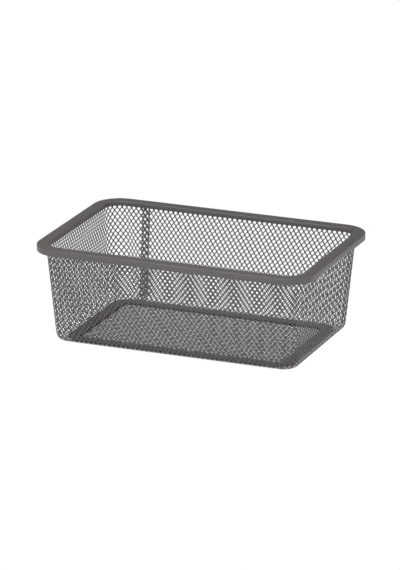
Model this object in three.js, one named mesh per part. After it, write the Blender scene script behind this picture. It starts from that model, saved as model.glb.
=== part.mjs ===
// A powder-coated steel mesh basket: a pressed rim, a wall wrapped from one strip of
// expanded mesh, an expanded mesh floor, and a flat band that joins the wall to the floor.
// Millimetres, +Z up. The origin lies on the ground under the middle of the basket.
// +X runs along the long side. +Y points to the back, where the ends of the wall strip lap.

import * as THREE from 'three';
import { mergeVertices } from 'three/addons/utils/BufferGeometryUtils.js';

// Whole basket, measured over the rim
const length = 420;
const width = 280;
const height = 144;

// Pressed rim: a flat top with a skirt round the outside and a lip round the inside
const rimTopWidth = 17.4;
const rimSheet = 0.9;
const rimSkirtDepth = 9.2;
const rimLipDepth = 6.7;
const rimFoldRadius = 1.2;
const rimCornerRadius = 41;
const rimCornerSteps = 8;
const rimFoldSteps = 3;

// Expanded mesh: diamonds drawn at five times the real 8 by 10 mm, with the same open share.
// The scale of an opening is its share of the pitch.
const meshThickness = 0.5;
const meshPitchAlong = 40;
const meshPitchUp = 50;
const meshOpenScale = 0.8;

// Wall strip: leans in towards the floor, bends under and ends in a flat foot.
// Its corners turn a little tighter than the rim's lip, so that they pass behind it.
const wallDraft = 11;
const wallGroundCornerRadius = 23.2;
const wallCornerEase = 2;
const wallCornerColumns = 2;
const wallBendRadius = 10;
const wallBendSteps = 2;
const wallFootWidth = 11;
const sharpestCorner = 0.6;

// Lap where the end of the wall strip is welded over its start, near the left end of the back wall
const lapFromEnd = 73.5;
const lapWidth = 12.6;
const lapColumns = 1;

// Floor band: covers the joint between the foot of the wall and the floor mesh
const bandWidth = 17;
const bandSheet = 1;
const bandSetback = 2.5;
const bandInnerCornerRadius = 1.5;
const bandCornerSteps = 5;

// Clearances between pieces that are pressed together and welded. The strands of the mesh lie a
// little twisted, so their crests hold the lip and the band off the flat of the sheet.
const weldGap = 0.3;
const lipGap = 1.5;
const bandLift = 0.8;

// The lap keeps its distance from the left end of the rim.
const lapCentre = lapFromEnd - length / 2;

// The wall strip hangs just outside the rim's lip, so the lip's lower edge sets its place.
const lipBottom = height - rimLipDepth;
const wallTop = height - rimSheet - weldGap;
const wallLean = Math.atan(wallDraft / lipBottom);
const meshAcross = meshThickness / Math.cos(wallLean);
const wallInsetAtLip = rimTopWidth - rimSheet - lipGap - meshAcross;
const wallTopCornerRadius = rimCornerRadius - wallInsetAtLip - wallCornerEase;
const wallGroundInset = wallInsetAtLip + wallDraft;

// The bend runs from its tangent point on the leaning wall to the one on the ground.
const bendTurn = Math.PI / 2 - wallLean;
const bendReach = wallBendRadius * Math.tan(bendTurn / 2);
const bendTop = bendReach * Math.cos(wallLean);
const bendEndInset = wallGroundInset + bendReach;
const footEndInset = bendEndInset + wallFootWidth;
const bandInset = bendEndInset + bandSetback;
const floorInset = footEndInset + weldGap;

// The four corners of the plan, counter-clockwise, each with the flat wall that follows it
const planCorners = [
  { name: 'back_right', signX: 1, signY: 1, start: 0, wall: 'back' },
  { name: 'back_left', signX: -1, signY: 1, start: Math.PI / 2, wall: 'left' },
  { name: 'front_left', signX: -1, signY: -1, start: Math.PI, wall: 'front' },
  { name: 'front_right', signX: 1, signY: -1, start: 1.5 * Math.PI, wall: 'right' },
];

/** Half-pitches of mesh that come closest to filling a size, in whole diamonds. */
function halfPitches(size, pitch) {
  return 2 * Math.max(1, Math.round(size / pitch));
}

/** Inset of the wall's outer face from the rim's outer edge, at height z. */
function wallInset(z) {
  return wallInsetAtLip + (lipBottom - z) * Math.tan(wallLean);
}

/** Corner radius of the wall's plan outline at an inset and a height, bend and foot included. */
function wallCornerRadius(inset, z) {
  const wallZ = Math.max(z, bendTop);
  const growth = (wallTopCornerRadius - wallGroundCornerRadius) / lipBottom;
  const faceRadius = wallGroundCornerRadius + growth * wallZ;
  return Math.max(sharpestCorner, faceRadius - (inset - wallInset(wallZ)));
}

/** A point of a section: how far in from the rim's edge, how high, and its corner radius in plan. */
function wallPoint(inset, z) {
  return { inset, z, radius: wallCornerRadius(inset, z) };
}

/** Places section points on one turn of a rounded corner of the plan. */
function cornerStation(corner, angle) {
  return ({ inset, z, radius }) => new THREE.Vector3(
    corner.signX * (length / 2 - inset - radius) + Math.cos(angle) * radius,
    corner.signY * (width / 2 - inset - radius) + Math.sin(angle) * radius,
    z,
  );
}

/** Stations round a rounded corner, from one flat wall to the next. */
function cornerStations(corner, steps) {
  return Array.from({ length: steps + 1 }, (_, step) => (
    cornerStation(corner, corner.start + (step / steps) * (Math.PI / 2))));
}

/** Evenly spread stations along a straight stretch between two stations. */
function straightStations(from, to, steps) {
  return Array.from({ length: steps + 1 }, (_, step) => (
    (point) => from(point).lerp(to(point), step / steps)));
}

/** A closed mesh from points and convex faces that all turn the same way, welded at its edges. */
function closedMesh(points, faces) {
  const triangles = [];
  let volume = 0;
  for (const face of faces) {
    for (let corner = 1; corner + 1 < face.length; corner += 1) {
      const triangle = [face[0], face[corner], face[corner + 1]];
      const [a, b, c] = triangle.map((index) => points[index]);
      volume += a.dot(b.clone().cross(c));
      triangles.push(triangle);
    }
  }
  if (volume < 0) {
    triangles.forEach((triangle) => triangle.reverse());
  }
  const geometry = new THREE.BufferGeometry().setFromPoints(points);
  geometry.setIndex(triangles.flat());
  return mergeVertices(geometry);
}

/** A closed section swept all the way round the plan. */
function sweepRing(section, steps) {
  const stations = planCorners.flatMap((corner) => cornerStations(corner, steps));
  const points = stations.flatMap((station) => section.map(station));
  const count = section.length;
  const faces = [];
  for (let turn = 0; turn < stations.length; turn += 1) {
    const here = turn * count;
    const next = ((turn + 1) % stations.length) * count;
    for (let side = 0; side < count; side += 1) {
      const after = (side + 1) % count;
      faces.push([here + side, next + side, next + after, here + after]);
    }
  }
  return closedMesh(points, faces);
}

/**
 * One strand of mesh in one cell of the lattice: the cell without two opposite corners,
 * each of which is a quarter of a diamond opening. Marks are in half-pitches.
 */
function strandOutline(column, row, shift) {
  const corners = [[0, 0], [1, 0], [1, 1], [0, 1]].map(([x, y]) => new THREE.Vector2(column + x, row + y));
  return corners.flatMap((corner, index) => {
    if ((corner.x + corner.y + shift) % 2 === 0) {
      return [corner];
    }
    const sides = [corners.at(index - 1), corners[(index + 1) % corners.length]];
    return sides.map((side) => corner.clone().lerp(side, meshOpenScale));
  });
}

/**
 * A sheet of expanded mesh on a lattice of half-pitches. place(mark, depth) gives the point of
 * the sheet's outer face at depth 0 and of its inner face at depth 1. shift 1 opens the corners.
 */
function expandedMesh(columns, rows, shift, place) {
  const points = [];
  const faces = [];
  const onEdge = (a, b) => (a.x === b.x && a.x % columns === 0) || (a.y === b.y && a.y % rows === 0);
  for (let column = 0; column < columns; column += 1) {
    for (let row = 0; row < rows; row += 1) {
      const outline = strandOutline(column, row, shift);
      const count = outline.length;
      const first = points.length;
      points.push(...outline.map((mark) => place(mark, 0)), ...outline.map((mark) => place(mark, 1)));
      faces.push(outline.map((_, index) => first + index));
      faces.push(outline.map((_, index) => first + 2 * count - 1 - index));
      outline.forEach((mark, side) => {
        const after = (side + 1) % count;
        const next = outline[after];
        const openingSide = mark.x !== next.x && mark.y !== next.y;
        if (openingSide || onEdge(mark, next)) {
          faces.push([first + after, first + side, first + count + side, first + count + after]);
        }
      });
    }
  }
  return closedMesh(points, faces);
}

/** The point between two section points. */
function between(from, to, share) {
  return {
    inset: THREE.MathUtils.lerp(from.inset, to.inset, share),
    z: THREE.MathUtils.lerp(from.z, to.z, share),
    radius: THREE.MathUtils.lerp(from.radius, to.radius, share),
  };
}

/** Expanded mesh over stations round the plan, between an outer and an inner line of section points. */
function meshStrip(outer, inner, stations) {
  const columns = stations.length - 1;
  const rows = outer.length - 1;
  const place = (mark, depth) => {
    const column = Math.min(Math.floor(mark.x), columns - 1);
    const row = Math.min(Math.floor(mark.y), rows - 1);
    const upper = between(outer[row], inner[row], depth);
    const lower = between(outer[row + 1], inner[row + 1], depth);
    const near = stations[column](upper).lerp(stations[column](lower), mark.y - row);
    const far = stations[column + 1](upper).lerp(stations[column + 1](lower), mark.y - row);
    return near.lerp(far, mark.x - column);
  };
  return expandedMesh(columns, rows, 0, place);
}

/** The flat stretch of one face of the wall strip, from the top down to the bend, row by row. */
function wallFace(depth) {
  const across = depth / Math.cos(wallLean);
  const bendStart = bendTop + depth * Math.sin(wallLean);
  const rows = halfPitches(wallTop - bendTop, meshPitchUp);
  return Array.from({ length: rows + 1 }, (_, row) => {
    const z = THREE.MathUtils.lerp(wallTop, bendStart, row / rows);
    return wallPoint(wallInset(z) + across, z);
  });
}

/** One face of the whole wall strip: the flat stretch, the bend and the foot. */
function wallLine(depth) {
  const line = wallFace(depth);
  const bendRadius = wallBendRadius - depth;
  for (let step = 1; step <= wallBendSteps; step += 1) {
    const angle = Math.PI + wallLean + bendTurn * (step / wallBendSteps);
    const z = step === wallBendSteps ? depth : wallBendRadius + bendRadius * Math.sin(angle);
    line.push(wallPoint(bendEndInset + bendRadius * Math.cos(angle), z));
  }
  line.push(wallPoint(footEndInset, depth));
  return line;
}

/** A quarter-round fold in the rim's section, turning from one angle to another. */
function fold(centreInset, radius, from, to) {
  return Array.from({ length: rimFoldSteps + 1 }, (_, step) => {
    const angle = THREE.MathUtils.lerp(from, to, step / rimFoldSteps);
    return {
      inset: centreInset + radius * Math.cos(angle),
      z: height - rimFoldRadius + radius * Math.sin(angle),
    };
  });
}

/**
 * The rim: one pressed ring, open underneath, with its corners about one centre each. Its
 * underside has an edge just short of the wall, where the ledge for a runner ends.
 */
function rimGeometry() {
  const insideRadius = rimFoldRadius - rimSheet;
  const lipFold = rimTopWidth - rimFoldRadius;
  const skirtBottom = height - rimSkirtDepth;
  const ledgeEnd = wallInset(wallTop) - weldGap;
  const section = [
    { inset: 0, z: skirtBottom },
    ...fold(rimFoldRadius, rimFoldRadius, Math.PI, Math.PI / 2),
    ...fold(lipFold, rimFoldRadius, Math.PI / 2, 0),
    { inset: rimTopWidth, z: lipBottom },
    { inset: rimTopWidth - rimSheet, z: lipBottom },
    ...fold(lipFold, insideRadius, 0, Math.PI / 2),
    { inset: ledgeEnd, z: height - rimSheet },
    ...fold(rimFoldRadius, insideRadius, Math.PI / 2, Math.PI),
    { inset: rimSheet, z: skirtBottom },
  ];
  const concentric = section.map(({ inset, z }) => ({ inset, z, radius: rimCornerRadius - inset }));
  return sweepRing(concentric, rimCornerSteps);
}

/** The end of the wall strip, lying on the outside of the back wall above the bend. */
function lapGeometry() {
  const [from, to] = [1, -1].map((side) => (
    ({ inset, z }) => new THREE.Vector3(lapCentre + side * lapWidth / 2, width / 2 - inset, z)));
  const stations = straightStations(from, to, 2 * lapColumns);
  return meshStrip(wallFace(-weldGap - meshThickness), wallFace(-weldGap), stations);
}

/** The floor: a flat sheet of the same mesh, level with the foot of the wall, its diamonds long in X. */
function floorGeometry() {
  const sizeX = length - 2 * floorInset;
  const sizeY = width - 2 * floorInset;
  const columns = halfPitches(sizeX, meshPitchUp);
  const rows = halfPitches(sizeY, meshPitchAlong);
  return expandedMesh(columns, rows, 1, (mark, depth) => new THREE.Vector3(
    sizeX * (mark.x / columns - 1 / 2),
    sizeY * (mark.y / rows - 1 / 2),
    meshThickness * depth,
  ));
}

/** A rectangle with round corners, drawn on a shape or a hole. */
function drawRectangle(outline, halfX, halfY, radius) {
  planCorners.forEach(({ signX, signY, start }) => outline.absarc(
    signX * (halfX - radius),
    signY * (halfY - radius),
    radius,
    start,
    start + Math.PI / 2,
  ));
  return outline;
}

/** The floor band: a flat frame of sheet, held by the crests of the wall's foot and the floor mesh. */
function bandGeometry() {
  const halfX = length / 2 - bandInset;
  const halfY = width / 2 - bandInset;
  const band = drawRectangle(new THREE.Shape(), halfX, halfY, wallCornerRadius(bandInset, 0));
  const opening = new THREE.Path();
  drawRectangle(opening, halfX - bandWidth, halfY - bandWidth, bandInnerCornerRadius);
  band.holes.push(opening);
  const frame = new THREE.ExtrudeGeometry(band, {
    depth: bandSheet,
    bevelEnabled: false,
    curveSegments: bandCornerSteps,
  });
  return frame.translate(0, 0, meshThickness + bandLift);
}

/** A named piece of the basket in its grey powder coat. */
function piece(name, geometry) {
  const coat = new THREE.MeshStandardMaterial({ color: 0x5d5a59, roughness: 0.5, metalness: 0.25 });
  const mesh = new THREE.Mesh(geometry, coat);
  mesh.name = name;
  return mesh;
}

const basket = new THREE.Group();
basket.add(piece('rim', rimGeometry()));

// The wall strip, in sections that meet where the flat walls run into the round corners
const wallOuter = wallLine(0);
const wallInner = wallLine(meshThickness);
planCorners.forEach((corner, index) => {
  const bend = cornerStations(corner, 2 * wallCornerColumns);
  const [next] = cornerStations(planCorners[(index + 1) % planCorners.length], 1);
  const flatLength = bend.at(-1)(wallOuter[0]).distanceTo(next(wallOuter[0]));
  const flat = straightStations(bend.at(-1), next, halfPitches(flatLength, meshPitchAlong));
  basket.add(piece(`wall_corner_${corner.name}`, meshStrip(wallOuter, wallInner, bend)));
  basket.add(piece(`wall_${corner.wall}`, meshStrip(wallOuter, wallInner, flat)));
});
basket.add(piece('wall_lap', lapGeometry()));

basket.add(piece('floor_mesh', floorGeometry()));
basket.add(piece('floor_band', bandGeometry()));

export default basket;
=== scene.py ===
"""A powder-coated steel mesh basket, dressed over its solids in a plain white studio.

The frame gives the rim, the floor and the band their sizes. The wall is one strip of expanded
mesh: it is drawn flat as a lattice of diamonds, cut, and then wrapped round the basket.
"""
import logging
import math
from contextlib import contextmanager
from dataclasses import dataclass, field
from enum import Enum
from typing import ClassVar, Iterator

import bpy
import numpy as np
from mathutils import Matrix, Vector


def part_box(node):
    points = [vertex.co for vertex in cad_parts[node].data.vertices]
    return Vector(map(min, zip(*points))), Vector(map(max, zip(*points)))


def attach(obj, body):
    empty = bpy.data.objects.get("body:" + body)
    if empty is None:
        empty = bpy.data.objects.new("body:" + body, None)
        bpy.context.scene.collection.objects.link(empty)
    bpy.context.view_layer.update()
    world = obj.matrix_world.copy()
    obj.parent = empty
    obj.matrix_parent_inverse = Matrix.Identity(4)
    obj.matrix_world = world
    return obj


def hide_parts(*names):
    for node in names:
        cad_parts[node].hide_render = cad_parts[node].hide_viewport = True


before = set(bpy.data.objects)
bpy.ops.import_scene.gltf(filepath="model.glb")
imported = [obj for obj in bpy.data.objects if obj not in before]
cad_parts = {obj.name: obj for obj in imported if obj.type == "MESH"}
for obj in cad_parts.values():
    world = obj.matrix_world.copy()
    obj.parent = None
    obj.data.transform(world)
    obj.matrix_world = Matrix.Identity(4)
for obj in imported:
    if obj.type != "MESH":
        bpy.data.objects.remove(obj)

LOG = logging.getLogger("basket")
MM = 0.001
Piece = bpy.types.Object
Port = bpy.types.NodeSocket
WHITE = (1.0, 1.0, 1.0, 1.0)
SMOOTH_ANGLE = math.radians(35)
CUT_ANGLE = math.radians(60)
CUT_STEPS = 2


class Pick(Enum):
    """What edit mode selects: the value is Blender's vertex, edge and face switch."""

    VERTICES = (True, False, False)
    EDGES = (False, True, False)
    FACES = (False, False, True)


class Side(Enum):
    """A wall of the basket: the value is its outward direction in plan."""

    FRONT = (0.0, -1.0)
    RIGHT = (1.0, 0.0)
    BACK = (0.0, 1.0)
    LEFT = (-1.0, 0.0)

    @property
    def along(self) -> tuple[float, float]:
        """The direction in which the strip runs along this wall, turning left round the plan."""
        return (-self.value[1], self.value[0])

    @property
    def heading(self) -> float:
        """1 where the strip runs towards +X or +Y along this wall, and -1 where it runs back."""
        return sum(self.along)

    @property
    def across_x(self) -> bool:
        """Whether the wall runs along X."""
        return self in (Side.FRONT, Side.BACK)


class Socket(Enum):
    """A kind of socket on a node group: the value is Blender's name for it."""

    COLOUR = "NodeSocketColor"
    VALUE = "NodeSocketFloat"
    VECTOR = "NodeSocketVector"


def deselect() -> None:
    """Clears the selection, so that an operator acts on what is picked next and nothing else."""
    bpy.ops.object.select_all(action="DESELECT")


def select(piece: Piece, pick: Pick, chosen: np.ndarray) -> None:
    """Selects vertices, edges or faces of a piece by number, for edit mode to find.

    Args:
        piece: a mesh object in object mode.
        pick: the kind of element.
        chosen: for each element of that kind, whether it is selected.
    """
    mesh = piece.data
    kinds = {Pick.VERTICES: mesh.vertices, Pick.EDGES: mesh.edges, Pick.FACES: mesh.polygons}
    for kind, elements in kinds.items():
        marks = chosen if kind is pick else np.zeros(len(elements), dtype=bool)
        elements.foreach_set("select", marks)


@contextmanager
def edit_mode(piece: Piece, pick: Pick, chosen: np.ndarray | None = None) -> Iterator[None]:
    """Opens a piece in edit mode for a block of operators.

    Args:
        piece: the mesh object to edit.
        pick: the kind of element that the operators select.
        chosen: for each element of that kind, whether it is selected. Without it, all are.

    Returns:
        A context that leaves edit mode at its end.
    """
    if chosen is not None:
        select(piece, pick, chosen)
    bpy.context.view_layer.objects.active = piece
    bpy.context.tool_settings.mesh_select_mode = pick.value
    bpy.ops.object.mode_set(mode="EDIT")
    if chosen is None:
        bpy.ops.mesh.select_all(action="SELECT")
    yield
    bpy.ops.object.mode_set(mode="OBJECT")


def vertex_places(piece: Piece) -> np.ndarray:
    """Reads where a piece's vertices are.

    Args:
        piece: a mesh object in object mode.

    Returns:
        One row of x, y and z in metres for each vertex.
    """
    places = np.empty(3 * len(piece.data.vertices))
    piece.data.vertices.foreach_get("co", places)
    return places.reshape(-1, 3)


def edge_ends(piece: Piece) -> np.ndarray:
    """Reads which two vertices each edge joins.

    Args:
        piece: a mesh object in object mode.

    Returns:
        One row of two vertex numbers for each edge.
    """
    ends = np.empty(2 * len(piece.data.edges), dtype=np.int64)
    piece.data.edges.foreach_get("vertices", ends)
    return ends.reshape(-1, 2)


def open_edges(piece: Piece) -> np.ndarray:
    """Finds the edges at the border of a sheet.

    Args:
        piece: a mesh object in object mode.

    Returns:
        For each edge, whether only one face uses it.
    """
    used = np.empty(len(piece.data.loops), dtype=np.int64)
    piece.data.loops.foreach_get("edge_index", used)
    return np.bincount(used, minlength=len(piece.data.edges)) == 1


def add_plane(name: str, size_x: float, size_y: float, z: float) -> Piece:
    """Adds a level rectangle, centred over the origin.

    Args:
        name: the new object's name.
        size_x: its size along X.
        size_y: its size along Y.
        z: its height.

    Returns:
        The new object, with its place in its mesh.
    """
    deselect()
    bpy.ops.mesh.primitive_plane_add(size=1.0)
    piece = bpy.context.object
    piece.name = piece.data.name = name
    with edit_mode(piece, Pick.VERTICES):
        bpy.ops.transform.resize(value=(size_x, size_y, 1.0))
        bpy.ops.transform.translate(value=(0.0, 0.0, z))
    return piece


def apply_modifier(piece: Piece, kind: str, **settings: object) -> None:
    """Adds a modifier to a piece and applies it.

    Args:
        piece: the mesh object.
        kind: the modifier's type.
        settings: the modifier's settings, by name.
    """
    bpy.context.view_layer.objects.active = piece
    modifier = piece.modifiers.new(kind.lower(), kind)
    for key, value in settings.items():
        setattr(modifier, key, value)
    bpy.ops.object.modifier_apply(modifier=modifier.name)


def ease_cut_edges(piece: Piece, width: float) -> None:
    """Rounds the cut edges of a pressed steel piece and shades its folds smooth.

    Args:
        piece: the mesh object.
        width: how far in from an edge the rounding reaches.
    """
    apply_modifier(piece, "BEVEL", width=width, segments=CUT_STEPS, limit_method="ANGLE",
                   angle_limit=CUT_ANGLE)
    deselect()
    piece.select_set(True)
    bpy.ops.object.shade_smooth_by_angle(angle=SMOOTH_ANGLE)


def form_sheet(sheet: Piece, places: np.ndarray, thickness: float) -> None:
    """Forms a flat sheet of mesh and gives it its thickness, half on each side.

    Args:
        sheet: the flat sheet.
        places: the row of x, y and z that each of its vertices goes to.
        thickness: the steel's thickness.
    """
    sheet.data.vertices.foreach_set("co", places.ravel())
    sheet.data.update()
    apply_modifier(sheet, "SOLIDIFY", thickness=thickness, offset=0.0)


def direction(azimuth: float, elevation: float) -> Vector:
    """Turns two angles into a direction.

    Args:
        azimuth: degrees to the right of the basket's front.
        elevation: degrees up from the level.

    Returns:
        The direction from the basket, one unit long.
    """
    turn, rise = math.radians(azimuth), math.radians(elevation)
    return Vector((math.sin(turn) * math.cos(rise), -math.cos(turn) * math.cos(rise),
                   math.sin(rise)))


def node_group(name: str, takes: dict[str, Socket], gives: dict[str, Socket]) -> bpy.types.NodeTree:
    """Makes an empty shader node group with its sockets.

    Args:
        name: the group's name.
        takes: the kind of each input, by name.
        gives: the kind of each output, by name.

    Returns:
        The group.
    """
    tree = bpy.data.node_groups.new(name, "ShaderNodeTree")
    for way, sockets in (("INPUT", takes), ("OUTPUT", gives)):
        for socket, kind in sockets.items():
            tree.interface.new_socket(socket, in_out=way, socket_type=kind.value)
    return tree


@dataclass
class NodeBench:
    """Places and joins the nodes of one node tree."""

    tree: bpy.types.NodeTree

    def feed(self, socket: Port, value: object) -> None:
        """Joins an outgoing socket to an input, or sets the input's own value.

        Args:
            socket: the input.
            value: a value or an outgoing socket.
        """
        if isinstance(value, Port):
            self.tree.links.new(value, socket)
        else:
            socket.default_value = value

    def add(self, kind: str, settings: dict[str, object] | None = None,
            **inputs: object) -> bpy.types.Node:
        """Adds a node.

        Args:
            kind: the node's type.
            settings: its own settings, by name.
            inputs: values or outgoing sockets for its inputs, by name with _ for a space.

        Returns:
            The new node.
        """
        node = self.tree.nodes.new(kind)
        for key, value in (settings or {}).items():
            setattr(node, key, value)
        for key, value in inputs.items():
            self.feed(node.inputs[key.replace("_", " ")], value)
        return node

    def step(self, kind: str, settings: dict[str, object], *values: object) -> Port:
        """Adds a node with its inputs in order.

        Args:
            kind: the node's type.
            settings: its own settings, by name.
            values: values or outgoing sockets for its inputs, from the first on.

        Returns:
            Its first outgoing socket.
        """
        node = self.add(kind, settings)
        for socket, value in zip(node.inputs, values):
            self.feed(socket, value)
        return node.outputs[0]

    def math(self, operation: str, first: object, second: object) -> Port:
        """Adds a Math node for two values, and gives the result's socket."""
        return self.step("ShaderNodeMath", {"operation": operation}, first, second)

    def vector(self, operation: str, first: object, second: object) -> Port:
        """Adds a Vector Math node for two vectors, and gives the result's socket."""
        return self.step("ShaderNodeVectorMath", {"operation": operation}, first, second)

    def tint(self, colour: Port, shade: Port) -> Port:
        """Adds a node that scales a colour by a shade, and gives the new colour's socket."""
        node = self.add("ShaderNodeVectorMath", {"operation": "SCALE"}, Vector=colour, Scale=shade)
        return node.outputs["Vector"]

    def blend(self, share: Port, first: Port, second: Port) -> Port:
        """Adds a Mix Shader node with the second shader's share, and gives its socket."""
        return self.step("ShaderNodeMixShader", {}, share, first, second)


@dataclass(frozen=True)
class PowderGrain:
    """The skin of a powder coat, as a node group: orange peel, fine grain and soft mottling."""

    name: str = "powder_grain"
    grain_detail: float = 2.0
    peel_detail: float = 1.0
    mottle_detail: float = 3.0
    noise_middle: float = 0.5
    peel_share: float = 0.65

    def group(self) -> bpy.types.NodeTree:
        """Builds the node group, or finds it where it is built already.

        Returns:
            The group. It takes Vector, Color, Roughness, Grain Size, Peel Size, Mottle Size,
            Mottle and Gloss Spread, and gives Color, Roughness and Height.
        """
        found = bpy.data.node_groups.get(self.name)
        if found:
            return found
        values = ("Roughness", "Grain Size", "Peel Size", "Mottle Size", "Mottle", "Gloss Spread")
        takes = {"Vector": Socket.VECTOR, "Color": Socket.COLOUR}
        gives = {"Color": Socket.COLOUR, "Roughness": Socket.VALUE, "Height": Socket.VALUE}
        tree = node_group(self.name, takes | dict.fromkeys(values, Socket.VALUE), gives)
        bench = NodeBench(tree)
        given = bench.add("NodeGroupInput").outputs
        grain = self.noise(bench, given, "Grain Size", self.grain_detail)
        peel = self.noise(bench, given, "Peel Size", self.peel_detail)
        mottle = self.noise(bench, given, "Mottle Size", self.mottle_detail)
        shade = bench.math("ADD", self.swing(bench, mottle, given["Mottle"]), 1.0)
        spread = self.swing(bench, grain, given["Gloss Spread"])
        height = bench.math("ADD", bench.math("MULTIPLY", peel, self.peel_share),
                            bench.math("MULTIPLY", grain, 1.0 - self.peel_share))
        bench.add("NodeGroupOutput", Color=bench.tint(given["Color"], shade),
                  Roughness=bench.math("ADD", given["Roughness"], spread), Height=height)
        return tree

    def noise(self, bench: NodeBench, given: bpy.types.NodeOutputs, size: str,
              detail: float) -> Port:
        """Adds a noise whose grains have the size that one of the group's inputs gives.

        Args:
            bench: the group's bench.
            given: the group's inputs.
            size: the name of the input that holds the size in metres.
            detail: how many finer layers the noise has.

        Returns:
            The noise's value, from 0 to 1.
        """
        scale = bench.math("DIVIDE", 1.0, given[size])
        node = bench.add("ShaderNodeTexNoise", Vector=given["Vector"], Scale=scale, Detail=detail)
        return node.outputs[0]

    def swing(self, bench: NodeBench, noise: Port, width: Port) -> Port:
        """Adds a noise's swing to both sides of its middle, with the width of a socket."""
        return bench.math("MULTIPLY", bench.math("SUBTRACT", noise, self.noise_middle), width)


@dataclass(frozen=True)
class RoundOutline:
    """A rectangle in plan with round corners, and the node group that masks what is outside."""

    half_x: float
    half_y: float
    corner: float
    name: ClassVar[str] = "past_round_outline"

    def group(self) -> bpy.types.NodeTree:
        """Builds the node group, or finds it where it is built already.

        Returns:
            The group. It takes Vector, Core, Corner and Fade, and gives Mask.
        """
        found = bpy.data.node_groups.get(self.name)
        if found:
            return found
        tree = node_group(self.name, {"Vector": Socket.VECTOR, "Core": Socket.VECTOR,
                                      "Corner": Socket.VALUE, "Fade": Socket.VALUE},
                          {"Mask": Socket.VALUE})
        bench = NodeBench(tree)
        given = bench.add("NodeGroupInput").outputs
        in_plan, nothing = (1.0, 1.0, 0.0), (0.0, 0.0, 0.0)
        over = given["Vector"]
        for operation, amount in (("MULTIPLY", in_plan), ("ABSOLUTE", nothing),
                                  ("SUBTRACT", given["Core"]), ("MAXIMUM", nothing)):
            over = bench.vector(operation, over, amount)
        reach = bench.add("ShaderNodeVectorMath", {"operation": "LENGTH"}, Vector=over)
        away = bench.math("SUBTRACT", reach.outputs["Value"], given["Corner"])
        mask = bench.add("ShaderNodeMapRange", {"interpolation_type": "SMOOTHSTEP"}, Value=away,
                         From_Min=0.0, From_Max=given["Fade"])
        bench.add("NodeGroupOutput", Mask=mask.outputs["Result"])
        return tree

    def past(self, bench: NodeBench, places: Port, fade: float) -> Port:
        """Adds the mask of what lies outside the rectangle.

        Args:
            bench: the material's bench.
            places: the coordinates' socket.
            fade: how far out from the rectangle the mask reaches 1.

        Returns:
            The mask's socket: 0 inside the rectangle and 1 outside.
        """
        core = (self.half_x - self.corner, self.half_y - self.corner, 0.0)
        node = bench.add("ShaderNodeGroup", {"node_tree": self.group()}, Vector=places, Core=core,
                         Corner=self.corner, Fade=fade)
        return node.outputs["Mask"]


@dataclass(frozen=True)
class BandGap:
    """The gap under the floor band, where hardly any light reaches, and the shade painted into
    colour there.
    """

    inner: RoundOutline
    outer: RoundOutline
    fade: float
    underside: float = -0.5

    def mask(self, bench: NodeBench, places: Port) -> Port:
        """Adds the mask of the strip under the band.

        Args:
            bench: the material's bench.
            places: the coordinates' socket.

        Returns:
            The mask's socket: 1 in the strip and 0 beside it.
        """
        within, beyond = (outline.past(bench, places, self.fade)
                          for outline in (self.inner, self.outer))
        return bench.math("SUBTRACT", within, beyond)

    def paint_gap_shade(self, bench: NodeBench, colour: Port) -> Port:
        """Paints shade into the mesh's colour in the gap, apart from its underside.

        Args:
            bench: the coat's bench.
            colour: the coat's colour.

        Returns:
            The socket of the colour with the painted shade.
        """
        given = bench.add("ShaderNodeTexCoord").outputs
        facing = bench.add("ShaderNodeSeparateXYZ", Vector=given["Normal"]).outputs["Z"]
        dark = bench.math("MULTIPLY", self.mask(bench, given["Object"]),
                          bench.math("GREATER_THAN", facing, self.underside))
        return bench.tint(colour, bench.math("SUBTRACT", 1.0, dark))


@dataclass(frozen=True)
class PowderCoat:
    """A satin powder coat on steel, with shade painted into its colour in the band's gap where one
    is given.
    """

    name: str
    colour: tuple[float, float, float]
    peel_size: float
    mottle_size: float
    bump: float
    # Painted shade: the gap under the band, where the coat's colour is darkened.
    gap: BandGap | None = None
    roughness: float = 0.42
    specular: float = 0.5
    grain_size: float = 0.35 * MM
    mottle: float = 0.10
    gloss_spread: float = 0.10
    bump_height: float = 0.03 * MM

    def material(self) -> bpy.types.Material:
        """Builds the coat's material, or finds it where it is built already.

        Returns:
            A material on Object coordinates.
        """
        found = bpy.data.materials.get(self.name)
        if found:
            return found
        material = bpy.data.materials.new(self.name)
        material.use_nodes = True
        tree = material.node_tree
        bench = NodeBench(tree)
        shader = tree.nodes["Principled BSDF"]
        places = bench.add("ShaderNodeTexCoord").outputs["Object"]
        skin = bench.add("ShaderNodeGroup", {"node_tree": PowderGrain().group()},
                         Vector=places, Color=(*self.colour, 1.0), Roughness=self.roughness,
                         Grain_Size=self.grain_size, Peel_Size=self.peel_size,
                         Mottle_Size=self.mottle_size, Mottle=self.mottle,
                         Gloss_Spread=self.gloss_spread)
        bump = bench.add("ShaderNodeBump", Strength=self.bump, Distance=self.bump_height,
                         Height=skin.outputs["Height"])
        colour = skin.outputs["Color"]
        # Painted shade: the coat's colour is darkened in the band's gap.
        if self.gap:
            colour = self.gap.paint_gap_shade(bench, colour)
        for name, value in (("Base Color", colour), ("Roughness", skin.outputs["Roughness"]),
                            ("Normal", bump.outputs["Normal"]),
                            ("Specular IOR Level", self.specular)):
            bench.feed(shader.inputs[name], value)
        return material


# Painted shade on the mesh: its colour goes dark under the band.
MESH_GAP_SHADE = BandGap(inner=RoundOutline(154 * MM, 84 * MM, 6 * MM),
                   outer=RoundOutline(172.3 * MM, 102.3 * MM, 28 * MM), fade=0.7 * MM)
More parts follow.
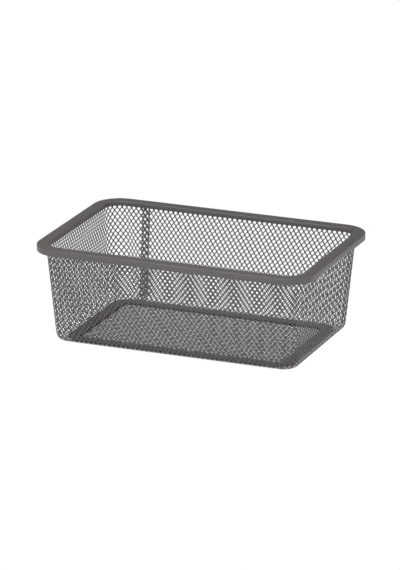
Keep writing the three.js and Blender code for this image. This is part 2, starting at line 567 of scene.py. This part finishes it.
# Painted shadow on the floor: its colour goes dark under and beside the band.
FLOOR_GAP_SHADE = BandGap(inner=RoundOutline(150 * MM, 79.5 * MM, 6 * MM),
                    outer=RoundOutline(167 * MM, 97 * MM, 28 * MM), fade=4 * MM)
SHEET_COAT = PowderCoat("sheet_powder_coat", (0.118, 0.110, 0.108), peel_size=2.2 * MM,
                        mottle_size=40 * MM, bump=0.25)
# The mesh's coat has shade painted into it under the band.
MESH_COAT = PowderCoat("mesh_powder_coat", (0.104, 0.097, 0.095), peel_size=1.2 * MM,
                       mottle_size=30 * MM, bump=0.20, gap=MESH_GAP_SHADE)


def dress(piece: Piece, coat: PowderCoat, slot: str, *nodes: str) -> None:
    """Gives a finished piece its coat and its place in the frame.

    Args:
        piece: the mesh object.
        coat: its finish.
        slot: the record's material slot; not used.
        nodes: the nodes of the frame that it stands for.
    """
    piece.data.materials.clear()
    piece.data.materials.append(coat.material())
    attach(piece, "root")
    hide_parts(*nodes)
    faces = sum(len(face.vertices) - 2 for face in piece.data.polygons)
    LOG.info("%s: %d triangles, for %s", piece.name, faces, ", ".join(nodes))


@dataclass
class Rim:
    """The pressed rim: a flat top with a skirt round the outside and a lip round the inside."""

    top_width: float = 17.4 * MM
    lip_depth: float = 6.7 * MM
    sheet: float = 0.9 * MM
    fold_radius: float = 1.2 * MM
    corner_radius: float = 41 * MM
    corner_steps: int = 20
    fold_steps: int = 5
    cut_edge: float = 0.2 * MM
    half: Vector = field(init=False)
    top: float = field(init=False)
    skirt_depth: float = field(init=False)

    def __post_init__(self) -> None:
        """Takes the outer size from the frame."""
        low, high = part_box("rim")
        self.half = Vector(((high.x - low.x) / 2, (high.y - low.y) / 2))
        self.top = high.z
        self.skirt_depth = high.z - low.z

    def build(self) -> Piece:
        """Models the rim.

        Returns:
            The dressed piece.
        """
        rim = add_plane("rim_channel", 2 * self.half.x, 2 * self.half.y, self.top)
        with edit_mode(rim, Pick.VERTICES):
            bpy.ops.mesh.bevel(offset=self.corner_radius, segments=self.corner_steps,
                               affect="VERTICES")
        with edit_mode(rim, Pick.FACES):
            bpy.ops.mesh.inset(thickness=self.top_width, use_even_offset=True)
            bpy.ops.mesh.delete(type="FACE")
        self.turn_down(rim, outer=True, depth=self.skirt_depth)
        self.turn_down(rim, outer=False, depth=self.lip_depth)
        self.round_folds(rim)
        apply_modifier(rim, "SOLIDIFY", thickness=self.sheet, offset=-1.0, use_even_offset=True)
        ease_cut_edges(rim, self.cut_edge)
        dress(rim, SHEET_COAT, "sheet_coat", "rim")
        return rim

    def inset(self, places: np.ndarray) -> np.ndarray:
        """Measures how far in from the rim's outline points lie, in plan.

        Args:
            places: rows of x, y and z.

        Returns:
            The distance of each point from the outline.
        """
        core = np.array(self.half) - self.corner_radius
        over = np.abs(places[:, :2]) - core
        reach = np.linalg.norm(np.maximum(over, 0.0), axis=1)
        return self.corner_radius - reach - np.minimum(over.max(axis=1), 0.0)

    def border_edges(self, rim: Piece, outer: bool) -> np.ndarray:
        """Finds the edges along one border of the flat top.

        Args:
            rim: the ring so far.
            outer: whether it is the outer border, and not the inner one.

        Returns:
            For each edge, whether it runs along that border.
        """
        places = vertex_places(rim)
        near_outline = self.inset(places) < self.top_width / 2
        level = places[:, 2] > self.top - self.sheet / 2
        wanted = (near_outline == outer) & level
        return wanted[edge_ends(rim)].all(axis=1)

    def turn_down(self, rim: Piece, outer: bool, depth: float) -> None:
        """Extrudes one border of the flat top downwards.

        Args:
            rim: the ring so far.
            outer: whether the outer border is turned down, and not the inner one.
            depth: how far below the top it reaches.
        """
        with edit_mode(rim, Pick.EDGES, open_edges(rim) & self.border_edges(rim, outer)):
            bpy.ops.mesh.extrude_region_move(
                TRANSFORM_OT_translate={"value": (0.0, 0.0, -depth)})

    def round_folds(self, rim: Piece) -> None:
        """Rounds the two folds between the top and the turned-down edges.

        Args:
            rim: the ring with both its edges turned down.
        """
        folds = self.border_edges(rim, outer=True) | self.border_edges(rim, outer=False)
        with edit_mode(rim, Pick.EDGES, folds):
            bpy.ops.mesh.bevel(offset=self.fold_radius, segments=self.fold_steps, affect="EDGES")


@dataclass
class ExpandedSheet:
    """A flat sheet of expanded mesh: staggered rows of openings between strands and short bonds.

    A place on the sheet is given in pitches, column to the right and row downwards. An opening is
    one column wide and one row tall, and rows of openings stand half a row apart. FIRST_OPENING is
    the column and the row of the middle of the opening in the top left corner.
    """

    name: str
    columns: int
    half_rows: int
    pitch_along: float
    pitch_down: float
    strand: float = 1.45 * MM
    bond_width: float = 2.65 * MM
    bond_length: float = 1.05 * MM
    smallest_opening: float = 9.0 * MM * MM
    FIRST_OPENING: ClassVar[tuple[float, float]] = (0.5, 0.25)

    @property
    def half_column(self) -> float:
        """The distance from the middle of an opening to the bond beside it."""
        return self.pitch_along / 2

    @property
    def half_row(self) -> float:
        """The distance between two rows of openings."""
        return self.pitch_down / 2

    def lay_out(self) -> Piece:
        """Draws the openings: a grid turned into a brick pattern, with its level lines zigzagged.

        Returns:
            The flat sheet, with every opening still closed.
        """
        deselect()
        bpy.ops.mesh.primitive_grid_add(x_subdivisions=2 * self.columns,
                                        y_subdivisions=self.half_rows, size=1.0)
        sheet = bpy.context.object
        sheet.name = sheet.data.name = self.name
        width = self.columns * self.pitch_along
        height = self.half_rows * self.half_row
        with edit_mode(sheet, Pick.FACES):
            bpy.ops.transform.resize(value=(width, height, 1.0))
            bpy.ops.transform.translate(value=(width / 2, -height / 2, 0.0))
        self.stagger(sheet)
        self.zigzag(sheet)
        return sheet

    def marks(self, sheet: Piece) -> tuple[np.ndarray, np.ndarray]:
        """Counts the half columns and half rows of each vertex from the sheet's top left corner."""
        places = vertex_places(sheet)
        return places[:, 0] / self.half_column, -places[:, 1] / self.half_row

    def stagger(self, sheet: Piece) -> None:
        """Dissolves every other upright line, so that the grid becomes staggered bricks.

        Args:
            sheet: the grid.
        """
        across, down = self.marks(sheet)
        ends = edge_ends(sheet)
        column, last = np.rint(across[ends]).astype(int).T
        row = np.floor(down[ends].mean(axis=1)).astype(int)
        upright = column == last
        inside_opening = (column + row) % 2 == 1
        with edit_mode(sheet, Pick.EDGES, upright & inside_opening & ~open_edges(sheet)):
            bpy.ops.mesh.dissolve_edges(use_verts=False)

    def zigzag(self, sheet: Piece) -> None:
        """Moves the ends of the bonds together, so that each brick becomes a six-sided opening.

        Args:
            sheet: the sheet of bricks.
        """
        across, down = self.marks(sheet)
        column, line = np.rint(across).astype(int), np.rint(down).astype(int)
        inside = (line > 0) & (line < self.half_rows)
        under_bond = (column + line) % 2 == 1
        reach = (self.half_row - self.bond_length) / 2
        for chosen, way in ((inside & under_bond, reach), (inside & ~under_bond, -reach)):
            with edit_mode(sheet, Pick.VERTICES, chosen):
                bpy.ops.transform.translate(value=(0.0, way, 0.0))

    def cut(self, sheet: Piece, place: tuple[float, float],
            away: tuple[float, float]) -> None:
        """Shears the sheet off along a straight line.

        Args:
            sheet: the flat sheet.
            place: a point of the line, in pitches.
            away: the direction of the side that is cut off, in columns and rows.
        """
        with edit_mode(sheet, Pick.FACES):
            bpy.ops.mesh.bisect(
                plane_co=(place[0] * self.pitch_along, -place[1] * self.pitch_down, 0.0),
                plane_no=(away[0], -away[1], 0.0), clear_outer=True)

    def open_up(self, sheet: Piece) -> None:
        """Opens the mesh: each face is inset by half a strand, and its middle is removed.

        Args:
            sheet: the flat sheet, cut to size.
        """
        outline = len(sheet.data.vertices)
        areas = np.array([face.area for face in sheet.data.polygons])
        with edit_mode(sheet, Pick.FACES, areas > self.smallest_opening):
            bpy.ops.mesh.inset(thickness=self.strand / 2, use_individual=True,
                               use_even_offset=True)
            bpy.ops.mesh.delete(type="FACE")
        self.widen_bonds(sheet, outline)

    def widen_bonds(self, sheet: Piece, outline: int) -> None:
        """Moves the upright sides of the openings inwards, along the strands beside them.

        Args:
            sheet: the opened sheet.
            outline: the number of vertices that the sheet had before it was opened.
        """
        across, down = self.marks(sheet)
        row = np.floor(down).astype(int)
        bond = 2 * np.rint((across - row % 2) / 2) + row % 2
        beside = (across - bond) * self.half_column
        above_middle = row + 0.5 - down
        # These sides stand half a strand from the bond's middle, and no other vertex is so near.
        nearest, farthest = self.strand / 4, self.strand
        inner = np.arange(len(across)) >= outline
        at_bond = inner & (np.abs(beside) > nearest) & (np.abs(beside) < farthest)
        widen = (self.bond_width - self.strand) / 2
        rise = widen * (self.half_row - self.bond_length) / self.half_column
        for side in (-1.0, 1.0):
            for end in (-1.0, 1.0):
                corner = (beside * side > 0) & (above_middle * end > 0)
                with edit_mode(sheet, Pick.VERTICES, at_bond & corner):
                    bpy.ops.transform.translate(value=(side * widen, end * rise, 0.0))

    def lattice_places(self, sheet: Piece) -> tuple[np.ndarray, np.ndarray]:
        """Reads the column and the row of each vertex, in pitches."""
        across, down = self.marks(sheet)
        return across / 2, down / 2

    def below_strand(self, sheet: Piece) -> np.ndarray:
        """Measures how far below the middle line of its strand each vertex lies.

        Args:
            sheet: the flat sheet.

        Returns:
            The distance of each vertex: more than 0 on a strand's lower edge, less on its upper.
        """
        across, down = self.marks(sheet)
        line = np.rint(down)
        # The middle line is a zigzag: 1 where it is lowest and -1 where it is highest.
        swing = 2.0 * np.abs((across + line) % 2.0 - 1.0) - 1.0
        return (down - line) * self.half_row - swing * (self.half_row - self.bond_length) / 2


@dataclass(frozen=True)
class WallRun:
    """A stretch of the wall strip on one flat wall, and the round corner that follows it.

    Places are measured along X on the front and back walls and along Y on the others. The sheet
    was stretched a little unevenly, so its columns stand closer together at the foot.
    """

    side: Side
    start_top: float
    start_foot: float
    end_top: float
    end_foot: float
    pitch: float
    corner_columns: float = 0.0

    @property
    def columns(self) -> float:
        """How many columns of diamonds the flat stretch holds."""
        return abs(self.end_top - self.start_top) / self.pitch

    def start_at(self, drop: np.ndarray) -> np.ndarray:
        """Places the start of the stretch at drops from 0 to 1, in the strip's own direction."""
        return self.side.heading * (self.start_top + drop * (self.start_foot - self.start_top))

    def end_at(self, drop: np.ndarray) -> np.ndarray:
        """Places the end of the stretch at drops from 0 to 1, in the strip's own direction."""
        return self.side.heading * (self.end_top + drop * (self.end_foot - self.end_top))

    def place_at(self, share: np.ndarray, drop: np.ndarray) -> np.ndarray:
        """Places columns between the top and the foot of the flat stretch.

        The stretch folds flat along its diagonal, so it is two plain triangles.

        Args:
            share: how far along the stretch each point lies, from 0 to 1.
            drop: how far down the wall it lies, from 0 to 1.

        Returns:
            The place of each point along the wall, in the strip's own direction.
        """
        ends = ((self.start_top, self.start_foot), (self.end_top, self.end_foot))
        rising = self.start_top < self.end_top
        (low_top, low_foot), (high_top, high_foot) = ends if rising else ends[::-1]
        part = share if rising else 1.0 - share
        upper = low_top + part * (high_top - low_top) + drop * (high_foot - high_top)
        lower = low_top + drop * (low_foot - low_top) + part * (high_foot - low_foot)
        return self.side.heading * np.where(part > drop, upper, lower)


@dataclass
class WallStrip:
    """The wall: one strip of expanded mesh, wrapped round with its ends lapped at the back."""

    half: Vector
    thickness: float = 0.5 * MM
    lip_inset: float = 14.5 * MM
    lip_height: float = 137.3 * MM
    draft: float = 11 * MM
    top_corner_radius: float = 24.5 * MM
    foot_corner_radius: float = 23.2 * MM
    sharpest_corner: float = 0.6 * MM
    bend_radius: float = 10 * MM
    strand_twist: float = 12.0
    half_rows: int = 31
    top_edge: float = 142.51 * MM
    mark_top: float = 142.63 * MM
    pitch_down: float = 10 * MM
    first_column: float = 0.684
    lap_rise: float = 1.1 * MM
    lap_columns: float = 1.7
    ramp_columns: float = 1.8
    runs: tuple[WallRun, ...] = (
        WallRun(Side.BACK, -132 * MM, -132 * MM, -169.5 * MM, -158.5 * MM, 7.748 * MM, 5.64),
        WallRun(Side.LEFT, 99.5 * MM, 85.9 * MM, -99.5 * MM, -87.5 * MM, 7.435 * MM, 5.635),
        WallRun(Side.FRONT, -169.5 * MM, -155.7 * MM, 169.5 * MM, 158.4 * MM, 7.731 * MM, 5.55),
        WallRun(Side.RIGHT, -99.5 * MM, -87.0 * MM, 99.5 * MM, 87.0 * MM, 7.404 * MM, 5.55),
        WallRun(Side.BACK, 169.5 * MM, 149.3 * MM, -144.5 * MM, -144.5 * MM, 7.731 * MM),
    )

    @property
    def lean(self) -> float:
        """The angle of the wall to the upright."""
        return math.atan(self.draft / self.lip_height)

    @property
    def columns(self) -> float:
        """The column at which the strip ends."""
        return self.first_column + sum(run.columns + run.corner_columns for run in self.runs)

    @property
    def bend_line(self) -> tuple[float, float]:
        """The inset and the height of the bend's axis."""
        reach = self.bend_radius * math.tan((math.pi / 2 - self.lean) / 2)
        return self.lip_inset + self.draft + reach, self.bend_radius

    def halves(self, side: Side) -> tuple[float, float]:
        """Gives half the rim's size along a wall and half its size across it."""
        return (self.half.x, self.half.y) if side.across_x else (self.half.y, self.half.x)

    def build(self) -> Piece:
        """Models the wall strip.

        Returns:
            The dressed piece.
        """
        pitch = sum(run.pitch for run in self.runs) / len(self.runs)
        sheet = ExpandedSheet("wall_strip", math.ceil(self.columns), self.half_rows, pitch,
                              self.pitch_down)
        strip = sheet.lay_out()
        sheet.cut(strip, (self.first_column, 0.0), (-1.0, 0.0))
        sheet.cut(strip, (self.columns, 0.0), (1.0, 0.0))
        sheet.open_up(strip)
        wrapped = self.wrap(*sheet.lattice_places(strip), sheet.below_strand(strip))
        form_sheet(strip, wrapped, self.thickness)
        nodes = [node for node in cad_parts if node.startswith("wall_")]
        dress(strip, MESH_COAT, "mesh_coat", *nodes)
        return strip

    def section(self, row: np.ndarray) -> tuple[np.ndarray, np.ndarray]:
        """Places rows on the strip's middle surface: down the wall, round the bend, along the foot.

        Args:
            row: the rows in pitches from the top edge.

        Returns:
            The inset from the rim's outline and the height of each row.
        """
        axis_inset, axis_height = self.bend_line
        radius = self.bend_radius - self.thickness / 2
        bend_top = axis_height - radius * math.sin(self.lean)
        bend_inset = axis_inset - radius * math.cos(self.lean)
        z = self.top_edge - row * self.pitch_down
        wall_inset = bend_inset + (bend_top - z) * math.tan(self.lean)
        past_bend = np.maximum(bend_top - z, 0.0)
        turn = np.minimum(past_bend / radius, math.pi / 2 - self.lean)
        foot = past_bend - radius * turn
        bent_inset = axis_inset - radius * np.cos(self.lean + turn) + foot
        bent_z = axis_height - radius * np.sin(self.lean + turn)
        on_wall = z >= bend_top
        return np.where(on_wall, wall_inset, bent_inset), np.where(on_wall, z, bent_z)

    def corner_radius(self, inset: np.ndarray, z: np.ndarray) -> np.ndarray:
        """Works out the radius in plan of the round corners.

        Args:
            inset: how far in from the rim's outline each point is.
            z: its height.

        Returns:
            The radius at each point.
        """
        share = np.clip((self.lip_height - z) / self.lip_height, 0.0, 1.0)
        radius = self.top_corner_radius + share * (self.foot_corner_radius - self.top_corner_radius)
        past_wall = inset - self.lip_inset - (self.lip_height - z) * math.tan(self.lean)
        radius = radius - np.maximum(past_wall, 0.0)
        return np.maximum(radius, self.sharpest_corner)

    def plan_point(self, side: Side, place: np.ndarray, inset: np.ndarray,
                   radius: np.ndarray) -> np.ndarray:
        """Places points round the plan, on a wall or past its end in the corner and beyond.

        Args:
            side: the wall that the places are measured on.
            place: how far along the wall each point is from its middle, turning left.
            inset: how far in from the rim's outline it is.
            radius: the corner's radius there.

        Returns:
            Rows of x and y.
        """
        out, along = np.array(side.value), np.array(side.along)
        long_half, deep_half = self.halves(side)
        end = long_half - inset - radius
        depth = deep_half - inset - radius
        past = np.maximum(place - end, 0.0)
        turn = np.minimum(past / radius, math.pi / 2)
        beyond = past - radius * turn
        along_part = np.minimum(place, end) + radius * np.sin(turn)
        out_part = depth + radius * np.cos(turn) - beyond
        return along_part[:, None] * along + out_part[:, None] * out

    def wrap(self, column: np.ndarray, row: np.ndarray, below: np.ndarray) -> np.ndarray:
        """Wraps lattice places round the basket.

        Args:
            column: columns from the start of the strip, in pitches.
            row: rows from its top edge, in pitches.
            below: how far below the middle of its strand each point lies.

        Returns:
            Rows of x, y and z.
        """
        inset, z = self.section(row)
        rise = self.lap_lift(column, row)
        radius = self.corner_radius(inset, z)
        # The strands are twisted on the wall only: the twist runs out above the bend.
        on_wall = np.clip(z / self.bend_radius - 1.0, 0.0, 1.0)
        inwards = below * math.tan(math.radians(self.strand_twist)) * on_wall
        inset, radius = inset + inwards, radius - inwards
        drop = np.clip((self.mark_top - z) / (self.mark_top - self.bend_line[1]), 0.0, 1.0)
        plan = np.zeros((len(column), 2))
        start = self.first_column
        for run, following in zip(self.runs, (*self.runs[1:], None)):
            share = (column - start) / run.columns
            here = ((share > 0.0) | (run is self.runs[0])) & ((share <= 1.0) | (following is None))
            spot = run.place_at(share, drop)
            plan[here] = self.plan_point(run.side, spot, inset - rise, radius)[here]
            start += run.columns
            if following is None:
                break
            share = (column - start) / run.corner_columns
            here = (share > 0.0) & (share <= 1.0)
            plan[here] = self.corner_points(run, following, share, drop, inset, radius)[here]
            start += run.corner_columns
        return np.column_stack((plan, z))

    def corner_points(self, run: WallRun, following: WallRun, share: np.ndarray, drop: np.ndarray,
                      inset: np.ndarray, radius: np.ndarray) -> np.ndarray:
        """Spreads the columns of a corner evenly between two walls.

        Args:
            run: the wall before the corner.
            following: the wall after it.
            share: how far round the corner each point lies, from 0 to 1.
            drop: how far down the wall it lies, from 0 to 1.
            inset: how far in from the rim's outline it is.
            radius: the corner's radius there.

        Returns:
            Rows of x and y.
        """
        begin, finish = run.end_at(drop), following.start_at(drop)
        half_here, half_next = self.halves(run.side)
        before = half_here - inset - radius - begin
        after = half_next - inset - radius + finish
        round_way = before + radius * math.pi / 2 + after
        return self.plan_point(run.side, begin + share * round_way, inset, radius)

    def lap_lift(self, column: np.ndarray, row: np.ndarray) -> np.ndarray:
        """Works out how far outwards the strip's end is lifted, to lie over its start.

        Args:
            column: columns from the start of the strip, in pitches.
            row: rows from its top edge, in pitches.

        Returns:
            The lift of each point: a smooth step up before the lap, which fades out at the bend.
        """
        lap_start = self.columns - self.lap_columns
        ramp = np.clip((column - lap_start) / self.ramp_columns + 1.0, 0.0, 1.0)
        flat_rows = (self.top_edge - self.bend_line[1]) / self.pitch_down
        fade = np.clip(flat_rows + 1.0 - row, 0.0, 1.0)
        return self.lap_rise * (3.0 - 2.0 * ramp) * ramp ** 2 * fade


@dataclass
class FloorMesh:
    """The floor: a flat sheet of expanded mesh with its openings long in X."""

    pitch_x: float = 10.06 * MM
    pitch_y: float = 6.87 * MM
    opening_x: float = 0.70 * MM
    opening_y: float = -2.555 * MM
    strand: float = 1.3 * MM
    bond_width: float = 1.8 * MM
    thickness: float = 0.5 * MM

    def build(self) -> Piece:
        """Models the floor mesh: the sheet's rows run along X and its columns along Y.

        Returns:
            The dressed piece.
        """
        low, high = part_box("floor_mesh")
        # The sheet starts far enough out for one opening to lie at opening_x and opening_y.
        first_column, first_row = ExpandedSheet.FIRST_OPENING
        rows_before = math.ceil((self.opening_x - low.x) / self.pitch_x)
        start_x = self.opening_x - (rows_before + first_row) * self.pitch_x
        columns_before = math.ceil((self.opening_y - low.y) / self.pitch_y)
        start_y = self.opening_y - (columns_before + first_column) * self.pitch_y
        columns = math.ceil((high.y - start_y) / self.pitch_y)
        half_rows = math.ceil((high.x - start_x) / (self.pitch_x / 2))
        sheet = ExpandedSheet("floor_net", columns, half_rows, self.pitch_y, self.pitch_x,
                              strand=self.strand, bond_width=self.bond_width)
        floor = sheet.lay_out()
        for edge, way in ((low, -1.0), (high, 1.0)):
            sheet.cut(floor, ((edge.y - start_y) / self.pitch_y, 0.0), (way, 0.0))
        for edge, way in ((low, -1.0), (high, 1.0)):
            sheet.cut(floor, (0.0, (edge.x - start_x) / self.pitch_x), (0.0, way))
        sheet.open_up(floor)
        column, row = sheet.lattice_places(floor)
        level = np.full(len(row), low.z + self.thickness / 2)
        x, y = start_x + row * self.pitch_x, start_y + column * self.pitch_y
        form_sheet(floor, np.column_stack((x, y, level)), self.thickness)
        dress(floor, MESH_COAT, "mesh_coat", "floor_mesh")
        return floor


@dataclass
class FloorBand:
    """The flat frame of steel strip that covers the joint between the wall's foot and the floor."""

    width: float = 18 * MM
    sheet: float = 0.4 * MM
    sink: float = 0.3 * MM
    outer_radius: float = 28 * MM
    inner_radius: float = 6 * MM
    corner_steps: int = 12
    cut_edge: float = 0.15 * MM

    def build(self) -> Piece:
        """Models the band: two outlines, bridged, and given their thickness.

        Returns:
            The dressed piece.
        """
        low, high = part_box("floor_band")
        size = high - low
        top = high.z - self.sink
        band = add_plane("floor_frame", size.x, size.y, top)
        with edit_mode(band, Pick.VERTICES):
            bpy.ops.mesh.bevel(offset=self.outer_radius, segments=self.corner_steps,
                               affect="VERTICES")
            bpy.ops.mesh.select_all(action="DESELECT")
            bpy.ops.mesh.primitive_plane_add(size=1.0, location=(0.0, 0.0, top))
            bpy.ops.transform.resize(
                value=(size.x - 2 * self.width, size.y - 2 * self.width, 1.0))
            bpy.ops.mesh.bevel(offset=self.inner_radius, segments=self.corner_steps,
                               affect="VERTICES")
            bpy.ops.mesh.select_all(action="SELECT")
            bpy.ops.mesh.delete(type="ONLY_FACE")
            bpy.ops.mesh.select_all(action="SELECT")
            bpy.ops.mesh.bridge_edge_loops()
            bpy.ops.mesh.normals_make_consistent(inside=False)
        upward = sum(face.normal.z for face in band.data.polygons) > 0
        apply_modifier(band, "SOLIDIFY", thickness=self.sheet, offset=-1.0 if upward else 1.0)
        ease_cut_edges(band, self.cut_edge)
        dress(band, SHEET_COAT, "sheet_coat", "floor_band")
        return band


@dataclass(frozen=True)
class SoftBox:
    """A soft studio lamp: a square panel of light, aimed at the basket and out of the picture."""

    name: str
    azimuth: float
    elevation: float
    distance: float
    size: float
    power: float
    aim: tuple[float, float, float] = (0.0, 0.0, 0.07)

    def hang(self) -> Piece:
        """Hangs the lamp.

        Returns:
            The lamp.
        """
        data = bpy.data.lights.new(self.name, "AREA")
        data.size = self.size
        data.energy = self.power
        lamp = bpy.data.objects.new(self.name, data)
        bpy.context.collection.objects.link(lamp)
        back = direction(self.azimuth, self.elevation)
        lamp.location = Vector(self.aim) + back * self.distance
        lamp.rotation_euler = back.to_track_quat("Z", "Y").to_euler()
        lamp.visible_camera = False
        return lamp


@dataclass
class Studio:
    """A plain white studio: a pale floor, a white surround, soft lamps and the camera."""

    floor_size: float = 14.0
    floor_drop: float = 0.2 * MM
    floor_colour: tuple[float, float, float] = (0.80, 0.80, 0.80)
    shadow_glow: float = 0.03
    shadow_outline: RoundOutline = RoundOutline(171.5 * MM, 104.5 * MM, 28 * MM)
    shadow_fade: float = 4 * MM
    # Painted shadow: the floor's colour is darkened under the band.
    band_gap_shade: BandGap = FLOOR_GAP_SHADE
    room_light: float = 0.04
    sweep_top: float = 0.08
    sweep_fade: float = 0.08
    lamps: tuple[SoftBox, ...] = (
        SoftBox("lamp_over", 0.0, 85.0, 2.2, 1.8, 16.0),
        SoftBox("lamp_high", -50.0, 62.0, 2.2, 0.9, 17.0),
        SoftBox("lamp_right", 90.0, 20.0, 2.2, 1.4, 12.5),
        SoftBox("lamp_front", 0.0, 40.0, 2.5, 1.2, 31.0),
    )
    azimuth: float = 21.87
    elevation: float = 17.15
    distance: float = 6.336
    roll: float = 0.18
    lens: float = 280.22
    look_at: tuple[float, float, float] = (0.0052, -0.0194, 0.07903)
    pivot: tuple[float, float, float] = (0.0, 0.0, 0.14363)

    def build(self) -> None:
        """Builds the studio round the basket."""
        self.lay_floor()
        self.surround_world()
        for lamp in self.lamps:
            lamp.hang()
        self.set_camera()
        bpy.context.scene.view_settings.view_transform = "Standard"
        LOG.info("studio: %d soft lamps", len(self.lamps))

    def seen_directly(self, bench: NodeBench) -> Port:
        """Adds the mask of rays that see a surface directly, in a mirror or through glass.

        Args:
            bench: the bench of the floor's material or of the world.

        Returns:
            The mask's socket.
        """
        path = bench.add("ShaderNodeLightPath").outputs
        mirrored = bench.math("MAXIMUM", path["Is Glossy Ray"], path["Is Transmission Ray"])
        return bench.math("MAXIMUM", path["Is Camera Ray"], mirrored)

    def lay_floor(self) -> Piece:
        """Lays the floor: pale to the light, white to the eye apart from the basket's shadow, with
        shadow painted into its colour under the band.

        Returns:
            The floor, kept out of the object.
        """
        floor = add_plane("studio_floor", self.floor_size, self.floor_size, -self.floor_drop)
        material = bpy.data.materials.new("studio_floor")
        material.use_nodes = True
        tree = material.node_tree
        tree.nodes.clear()
        bench = NodeBench(tree)
        bounced = bench.add("ShaderNodeBsdfDiffuse", Color=(*self.floor_colour, 1.0))
        seen = self.seen_floor(bench)
        surface = bench.blend(self.seen_directly(bench), bounced.outputs[0], seen)
        bench.add("ShaderNodeOutputMaterial", Surface=surface)
        floor.data.materials.append(material)
        return floor

    def seen_floor(self, bench: NodeBench) -> Port:
        """Adds the floor as the eye sees it: white, shaded by the lamps only close to the basket,
        and with shadow painted into its colour under the band.

        Args:
            bench: the floor material's bench.

        Returns:
            The shader's socket.
        """
        places = bench.add("ShaderNodeTexCoord").outputs["Object"]
        # Painted shadow: the floor's colour and glow are darkened under the band.
        clear_of_painted_shadow = bench.math("SUBTRACT", 1.0, self.band_gap_shade.mask(bench, places))
        shaded = bench.add("ShaderNodeBsdfDiffuse", Color=clear_of_painted_shadow)
        lift = bench.add("ShaderNodeEmission", Color=WHITE,
                         Strength=bench.math("MULTIPLY", clear_of_painted_shadow, self.shadow_glow))
        near = bench.step("ShaderNodeAddShader", {}, shaded.outputs[0], lift.outputs[0])
        white = bench.add("ShaderNodeEmission", Color=WHITE, Strength=1.0)
        away = self.shadow_outline.past(bench, places, self.shadow_fade)
        return bench.blend(away, near, white.outputs[0])

    def surround_world(self) -> None:
        """Sets the world: a white sweep low down, to the eye and in reflections, and a dim room."""
        world = bpy.data.worlds.new("studio_surround")
        bpy.context.scene.world = world
        world.use_nodes = True
        world.node_tree.nodes.clear()
        bench = NodeBench(world.node_tree)
        heading = bench.add("ShaderNodeTexCoord").outputs["Generated"]
        height = bench.add("ShaderNodeSeparateXYZ", Vector=heading).outputs["Z"]
        low = bench.add("ShaderNodeMapRange", Value=height, From_Min=self.sweep_top,
                        From_Max=self.sweep_top + self.sweep_fade, To_Min=1.0, To_Max=0.0)
        room = bench.add("ShaderNodeBackground", Color=WHITE, Strength=self.room_light)
        sweep = bench.add("ShaderNodeBackground", Color=WHITE, Strength=1.0)
        white = bench.math("MULTIPLY", self.seen_directly(bench), low.outputs["Result"])
        surface = bench.blend(white, room.outputs[0], sweep.outputs[0])
        bench.add("ShaderNodeOutputWorld", Surface=surface)

    def set_camera(self) -> Piece:
        """Sets the camera: a long lens to the right of the front, looking a little down.

        Returns:
            The camera.
        """
        data = bpy.data.cameras.new("studio_camera")
        data.lens = self.lens
        camera = bpy.data.objects.new("studio_camera", data)
        bpy.context.collection.objects.link(camera)
        camera.location = (Vector(self.pivot)
                           + direction(self.azimuth, self.elevation) * self.distance)
        axis = camera.location - Vector(self.look_at)
        level = axis.to_track_quat("Z", "Y").to_matrix().to_4x4()
        tilt = Matrix.Rotation(math.radians(self.roll), 4, "Z")
        camera.matrix_world = Matrix.Translation(camera.location) @ level @ tilt
        bpy.context.scene.camera = camera
        return camera


def main() -> None:
    """Builds the basket and the studio."""
    logging.basicConfig(level=logging.INFO, format="%(message)s")
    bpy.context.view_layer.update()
    rim = Rim()
    rim.build()
    WallStrip(half=rim.half).build()
    FloorMesh().build()
    FloorBand().build()
    Studio().build()


if __name__ == "__main__":
    main()
